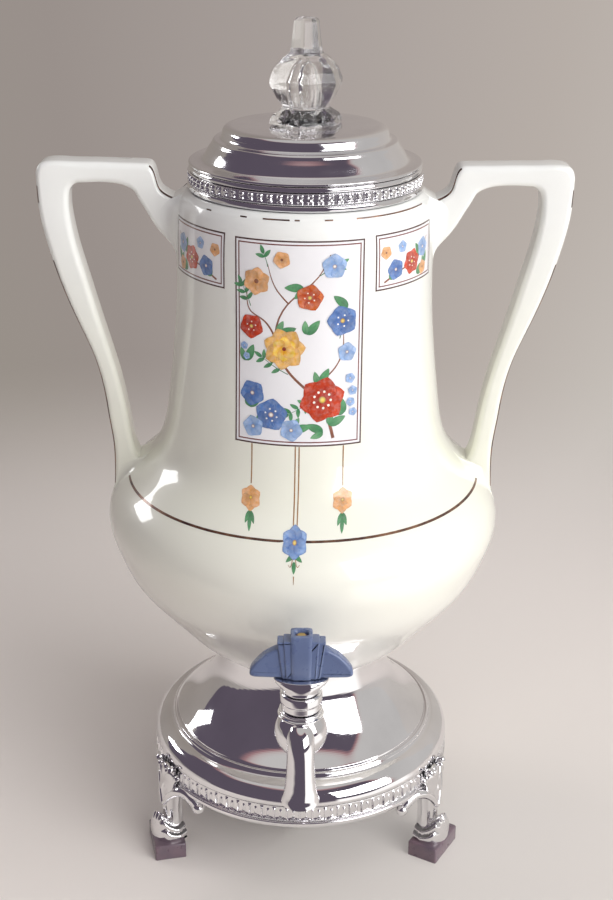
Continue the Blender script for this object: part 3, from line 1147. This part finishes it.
def tap_handle():
    """Two wings, a stepped middle wider at its top, and a peak with a rounded recess in its top."""
    wing = [(x * 20.1, HANDLE_FOOT + z * 12.6) for x, z in WING_SHARES]
    wings = wing + [(-x, z) for x, z in wing[::-1]]
    top = HANDLE_FOOT + 15.9
    step = [(7.4, HANDLE_FOOT), (9.4, top), (-9.4, top), (-7.4, HANDLE_FOOT)]
    inner_step = [(6.0, HANDLE_FOOT), (7.0, top + 0.5), (-7.0, top + 0.5), (-6.0, HANDLE_FOOT)]
    parts = [block(wings, 2.5, 0.95), block(step, 3.15, 0.6), block(inner_step, 3.6, 0.6)]
    angle = (TURN * np.arange(48) / 48)[None, :]

    def section(power):
        corner = np.abs(np.cos(angle)) ** power + np.abs(np.sin(angle)) ** power
        return np.stack([np.cos(angle), np.sin(angle)], -1) / corner[..., None] ** (1 / power)

    peak = HANDLE_FOOT + 18.8
    rows = [(4.0, 4.0, HANDLE_FOOT, 8), (4.1, 4.2, HANDLE_FOOT + 0.5, 8), (4.35, 4.2, peak - 0.9, 8),
            (4.2, 4.05, peak - 0.25, 8), (3.9, 3.75, peak, 7), (3.0, 2.5, peak, 4), (2.7, 2.2, peak - 0.3, 4),
            (2.5, 1.95, peak - 1.0, 3.5), (2.4, 1.8, peak - 2.3, 3)]
    flat = np.concatenate([np.array([w, d]) * section(p) for w, d, _, p in rows])
    z = np.array([h for _, _, h, _ in rows])[:, None, None] + 0 * flat[..., :1]
    parts.append(closed_tube(np.concatenate([flat, z], -1)))
    piece("blue_handle", at_tap(together(*parts)), BLUE, "tap_plug", ["tap_handle"], 32)
    plug = superball((0, 0, peak - 1.9), (2.35, 1.75, 0.9), (0.6, 0.7), 12, 28)
    piece("handle_plug", at_tap(sheet(plug, (False, True))), RECESS, "tap_plug")


# The percolator's stem
def percolator():
    line = [(2.6, 93), (3.5, 93), (3.5, 311), (2.6, 311)]
    piece("stem", ring(line, 0.2, 5, 40), ALUMINIUM, "pump", ["pump_stem"])


# CAD nodes that keep their shape: a merged copy with eased edges and smooth rounds
PLAIN = {
    "lid_skirt": (ALUMINIUM, "lid", "aluminium", 0.12), "pump_foot": (ALUMINIUM, "pump", "aluminium", 0.2),
    "basket_stop": (ALUMINIUM, "pump", "aluminium", 0.2),
    "coffee_basket": (ALUMINIUM, "basket", "aluminium", 0.12),
    "spreader_plate": (ALUMINIUM, "spreader", "aluminium", 0.12),
    "valve_disc": (BRASS, "valve", "brass", 0.15),
    "heater_well": (NICKEL, "urn", "nickel", 0.15), "well_gasket": (CORK, "urn", "gasket_rubber", 0.15),
    "well_nut": (BRASS, "urn", "brass", 0.3), "heating_element": (HEATER, "urn", "element_ceramic", 0.3),
    "element_plate": (STEEL, "urn", "steel", 0.15), "element_nut": (BRASS, "urn", "brass", 0.25),
    "body_gasket": (CORK, "urn", "gasket_rubber", 0.15), "bottom_plate": (STEEL, "urn", "steel", 0.2),
    "tap_gasket": (CORK, "urn", "gasket_rubber", 0.2), "tap_nut": (BRASS, "urn", "brass", 0.3),
    "feed_sleeve": (CORK, "urn", "gasket_rubber", 0.2),
    "tap_handle_screw": (BRASS, "tap_plug", "brass", 0.12),
    "inlet_guard": (CHROME, "urn", "chrome", 0.3), "inlet_block": (DARK, "urn", "dark_moulding", 0.3),
    "inlet_pin_left": (BRASS, "urn", "brass", 0.5), "inlet_pin_right": (BRASS, "urn", "brass", 0.5),
    "inlet_screw_lower": (STEEL, "urn", "steel", 0.15), "inlet_screw_upper": (STEEL, "urn", "steel", 0.15),
    "lead_left": (BRAID, "urn", "lead_braid", 0), "lead_right": (BRAID, "urn", "lead_braid", 0),
    "foot_screw_front_right": (STEEL, "urn", "steel", 0.15), "foot_screw_rear": (STEEL, "urn", "steel", 0.15),
    "foot_screw_front_left": (STEEL, "urn", "steel", 0.15), "plate_screw_1": (STEEL, "urn", "steel", 0.25),
    "plate_screw_2": (STEEL, "urn", "steel", 0.25), "plate_screw_3": (STEEL, "urn", "steel", 0.25),
}


def eased_copies():
    for node, (material, body, slot, edge) in PLAIN.items():
        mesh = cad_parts[node].data.copy()
        work = bmesh.new()
        work.from_mesh(mesh)
        bmesh.ops.remove_doubles(work, verts=work.verts, dist=1e-6)
        bmesh.ops.recalc_face_normals(work, faces=work.faces)
        bmesh.ops.dissolve_limit(work, angle_limit=math.radians(1), verts=work.verts, edges=work.edges)
        work.to_mesh(mesh)
        work.free()
        mesh.materials.clear()
        mesh.materials.append(material)
        shaded(mesh, 30)
        copy = placed(f"fine_{node}", mesh)
        if edge:
            bevel = copy.modifiers.new("eased_edges", "BEVEL")
            bevel.width, bevel.segments, bevel.limit_method = edge * MM, 2, "ANGLE"
            bevel.angle_limit, bevel.harden_normals = math.radians(32), True
        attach(copy, body)
        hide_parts(node)


# Studio
DARK_ROOM = (0.11, 0.09, 0.12)


def camera():
    """The photograph's camera, by its place about the urn's axis and its angles."""
    place = np.array([0.0, -594.45, 428.99]) + AXIS
    down, roll, pan = math.radians(22.558), math.radians(0.534), math.radians(0.14)
    right = np.array([math.cos(pan), -math.sin(pan), 0])
    level = np.array([math.sin(pan), math.cos(pan), 0])
    ahead = level * math.cos(down) - np.array([0, 0, math.sin(down)])
    above = level * math.sin(down) + np.array([0, 0, math.cos(down)])
    x = math.cos(roll) * right + math.sin(roll) * above
    y = math.cos(roll) * above - math.sin(roll) * right
    made = placed("camera", bpy.data.cameras.new("camera"))
    matrix = np.eye(4)
    matrix[:3, 0], matrix[:3, 1], matrix[:3, 2], matrix[:3, 3] = x, y, -ahead, place * MM
    made.matrix_world = Matrix(matrix.tolist())
    made.data.lens, made.data.sensor_width = 59.295, 36
    made.data.clip_start = 0.01
    bpy.context.scene.camera = made


def lamp(name, place, target, size, power, gloss=True):
    """A rectangular lamp at a place, turned to face another."""
    data = bpy.data.lights.new(name, "AREA")
    data.shape, data.size, data.size_y, data.energy = "RECTANGLE", *size, power
    made = placed(name, data)
    made.location = Vector(place)
    made.rotation_mode = "QUATERNION"
    made.rotation_quaternion = (Vector(target) - Vector(place)).to_track_quat("-Z", "Y")
    made.visible_glossy = gloss


def smooth_step(owner, value, start, end):
    """0 before start, 1 after end, eased between; the other way round where start is the greater."""
    low, high = (0, 1) if start < end else (1, 0)
    return ranged(owner, value, low, high, min(start, end), max(start, end), "SMOOTHSTEP")


def bearings(owner, place):
    """From a place or direction: its angle from -Y towards +X, its distance ahead, its distance from the axis
    and its height."""
    x, y, z = new_node(owner, "SeparateXYZ", Vector=place).outputs
    ahead = worked(owner, "MULTIPLY", y, -1.0)
    square = worked(owner, "ADD", worked(owner, "MULTIPLY", x, x), worked(owner, "MULTIPLY", ahead, ahead))
    return worked(owner, "ARCTAN2", x, ahead), ahead, worked(owner, "POWER", square, 0.5), z


def dark_side(owner, angle):
    """1 over the part of the room that is dark: from behind the left to the right of the front."""
    left, right = smooth_step(owner, angle, -2.42, -2.1), smooth_step(owner, angle, 1.32, 1.08)
    return worked(owner, "MULTIPLY", left, right)


def toned(owner, angle):
    """The paper's own tone at an angle; PAPER_TONES are stops round the turn from behind, by the left."""
    return blended(owner, worked(owner, "ADD", worked(owner, "DIVIDE", angle, TURN), 0.5), *PAPER_TONES)


def mixed(owner, share, first, second):
    """One shader where the share is 0, the other where it is 1."""
    made = new_node(owner, "MixShader", Fac=share)
    give(owner, made.inputs[1], first)
    give(owner, made.inputs[2], second)
    return made.outputs["Shader"]


PAPER_TONES = ((0.0, (0.39, 0.345, 0.325)), (0.035, (0.32, 0.28, 0.26)), (0.06, (0.315, 0.28, 0.25)),
               (0.25, (0.36, 0.33, 0.31)), (0.5, (0.5, 0.47, 0.44)), (0.75, (0.58, 0.55, 0.53)),
               (0.93, (0.57, 0.53, 0.49)), (0.965, (0.47, 0.42, 0.385)), (1.0, (0.39, 0.345, 0.325)))
ROOM_TONES = ((0.0, (0.56, 0.545, 0.53)), (0.25, (0.52, 0.44, 0.43)), (0.5, (0.36, 0.20, 0.21)),
              (0.8, DARK_ROOM))
GLARE = (1.25, 1.22, 1.18)


def paper():
    """Pale paper. What the camera, metal and glass see of it far off is its own even tone, and close by, in
    front and at the right, a share of that; the rest is lit as it is. Metal sees the paper's front edge end
    in the dark side of the room, and the paper under the window burnt out."""
    m = finish("paper", (0.82, 0.775, 0.73), Roughness=0.9)
    feed(m, "Base Color", blended(m, noise(m, 3, 2.0), (0.3, (0.81, 0.765, 0.72)),
                                  (0.7, (0.83, 0.785, 0.74))))
    angle, ahead, reach, _ = bearings(m, coordinates(m))
    rays = new_node(m, "LightPath").outputs
    glossy = rays["Is Glossy Ray"]
    seen = worked(m, "MAXIMUM", rays["Is Camera Ray"], glossy, rays["Is Transmission Ray"])
    near = worked(m, "MULTIPLY", smooth_step(m, reach, 0.24, 0.1), smooth_step(m, angle, -0.9, -0.3),
                  smooth_step(m, angle, 2.4, 1.6), 0.42)
    even = worked(m, "MULTIPLY", seen, worked(m, "MAXIMUM", smooth_step(m, reach, 0.24, 0.7), near))
    edge = worked(m, "MULTIPLY", glossy, smooth_step(m, ahead, 0.19, 0.26), dark_side(m, angle))
    window = worked(m, "MULTIPLY", glossy, smooth_step(m, reach, 0.15, 0.21),
                    smooth_step(m, angle, 0.4, 0.48), smooth_step(m, angle, 1.5, 1.3),
                    smooth_step(m, reach, 0.9, 0.7))
    look = m.node_tree.nodes["Principled BSDF"].outputs["BSDF"]
    for share, colour in ((even, toned(m, angle)), (edge, (*DARK_ROOM, 1)), (window, (*GLARE, 1))):
        look = mixed(m, share, look, new_node(m, "Emission", Color=colour).outputs["Emission"])
    give(m, m.node_tree.nodes["Material Output"].inputs["Surface"], look)
    return m


def room():
    """A pale world with a dark side behind the camera; the camera itself sees the paper's tones there."""
    world = bpy.data.worlds.new("room")
    bpy.context.scene.world = world
    world.use_nodes = True
    nodes = world.node_tree.nodes
    angle, _, _, height = bearings(world, new_node(world, "TexCoord").outputs["Generated"])
    level = worked(world, "MULTIPLY", smooth_step(world, height, -0.38, -0.28),
                   smooth_step(world, height, 0.91, 0.8))
    darkness = worked(world, "MULTIPLY", level, dark_side(world, angle))
    give(world, nodes["Background"].inputs["Color"], blended(world, darkness, *ROOM_TONES))
    plain = new_node(world, "Background", Color=toned(world, angle))
    camera_ray = new_node(world, "LightPath").outputs["Is Camera Ray"]
    look = mixed(world, camera_ray, nodes["Background"].outputs["Background"], plain.outputs["Background"])
    give(world, nodes["World Output"].inputs["Surface"], look)


def studio():
    """A pale floor that curves up behind, a wide window-like lamp on the right and a small one on the left, a
    soft one above, and the room."""
    bend = np.linspace(0, math.pi / 2, 16)[1:]
    run = np.concatenate([np.linspace(-5, 1.2, 30), 1.2 + np.sin(bend), [2.2]])
    rise = np.concatenate([np.zeros(30), 1.0 - np.cos(bend), [4.0]])
    x, y = np.meshgrid(np.linspace(-4, 4, 24), run)
    corners, faces = sheet(np.stack([x, y, rise[:, None] + 0 * x], -1))
    mesh = bpy.data.meshes.new("floor")
    mesh.from_pydata(corners.tolist(), [], faces)
    mesh.polygons.foreach_set("use_smooth", np.ones(len(mesh.polygons), bool))
    mesh.materials.append(paper())
    floor = placed("floor", mesh)
    middle = (0, AXIS[1] * MM, 0.2)
    lamp("window_right", (1.32, -1.21, 0.8), middle, (1.5, 1.2), 28)
    lamp("window_left", (-1.5, 0.72, 0.75), middle, (0.48, 0.36), 4)
    lamp("soft_top", (0.85, -1.05, 1.8), middle, (2.0, 2.0), 20, gloss=False)
    room()
    bpy.context.scene.view_settings.view_transform = "Standard"


china_vessel()
china_handles()
gold_rings()
main_panel()
side_panels()
pendants()
collar()
bands()
lid()
glass_knob()
base()
feet()
tap()
key_head()
tap_handle()
percolator()
eased_copies()
camera()
studio()
